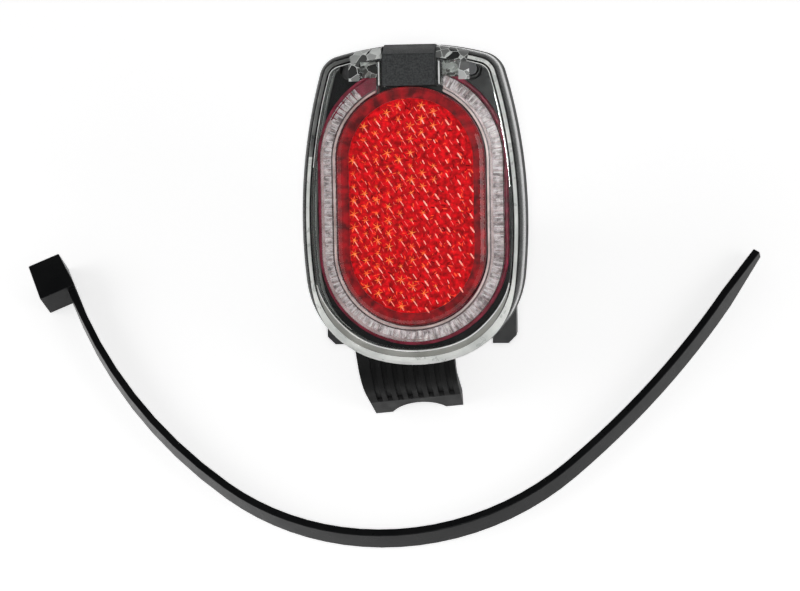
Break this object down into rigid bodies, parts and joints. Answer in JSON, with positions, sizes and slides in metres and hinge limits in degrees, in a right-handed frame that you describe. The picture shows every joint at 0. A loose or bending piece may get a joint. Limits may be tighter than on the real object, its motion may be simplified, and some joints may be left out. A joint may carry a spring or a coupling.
{
  "type": "bicycle rear light",
  "caption": "Bicycle rear light with a red oval reflector in a clear cover, on a rubber-soled foot for a seat stay, with its loose cable tie.",
  "frame": {"origin": "on the axis of the stay, in the middle of the foot's saddle", "axes": "+Y up along the stay, +Z from the stay to the lamp, +X to the right as seen from the lamp's face"},
  "size_m": [0.1543, 0.0855, 0.0678],
  "materials": {
    "black_shell": "fine grain",
    "black_gloss": "polished",
    "clear_cover": "clear, polished",
    "clear_guide": "clear, with frosted ribs",
    "red_prism": "clear red with prisms",
    "dark_red": "satin",
    "seal_rubber": "matt",
    "sole_rubber": "matt",
    "nylon": "satin",
    "board": "solder mask",
    "chip_black": "moulded",
    "led_package": "moulded",
    "capacitor_sleeve": "shrink sleeve",
    "plated_steel": "zinc plated",
    "tinned_brass": "bright"
  },
  "bodies": {
    "mount": {"stay_bracket": "black_shell", "rubber_shoe": "sole_rubber", "swivel_washer": "seal_rubber"},
    "lamp": {"rear_housing": "black_shell", "front_cover": "clear_cover", "cover_seal": "seal_rubber", "cover_screws": "plated_steel", "reflector_panel": "red_prism", "inner_carrier": "black_gloss", "light_guide": "clear_guide", "guide_tray": "dark_red", "led_hood": "black_shell", "led_board": "board", "leds": "led_package", "main_board": "board", "board_chips": "chip_black", "standlight_capacitor": "capacitor_sleeve", "board_link_pins": "tinned_brass", "board_screws": "plated_steel", "terminal_tabs": "tinned_brass", "swivel_nut": "plated_steel", "swivel_screw": "plated_steel"},
    "tie": {"cable_tie": "nylon"}
  },
  "joints": [
    {"name": "bracket_swivel", "type": "hinge", "parent": "mount", "child": "lamp", "pos_m": [0.0065, 0.0106, 0.03394], "axis": [0, -0.5, 0.866], "range_deg": [-14.5, 25.5]},
    {"name": "tie_lift", "type": "slide", "parent": "mount", "child": "tie", "axis": [0, 0, 1], "range_m": [0, 0.06]}
  ]
}
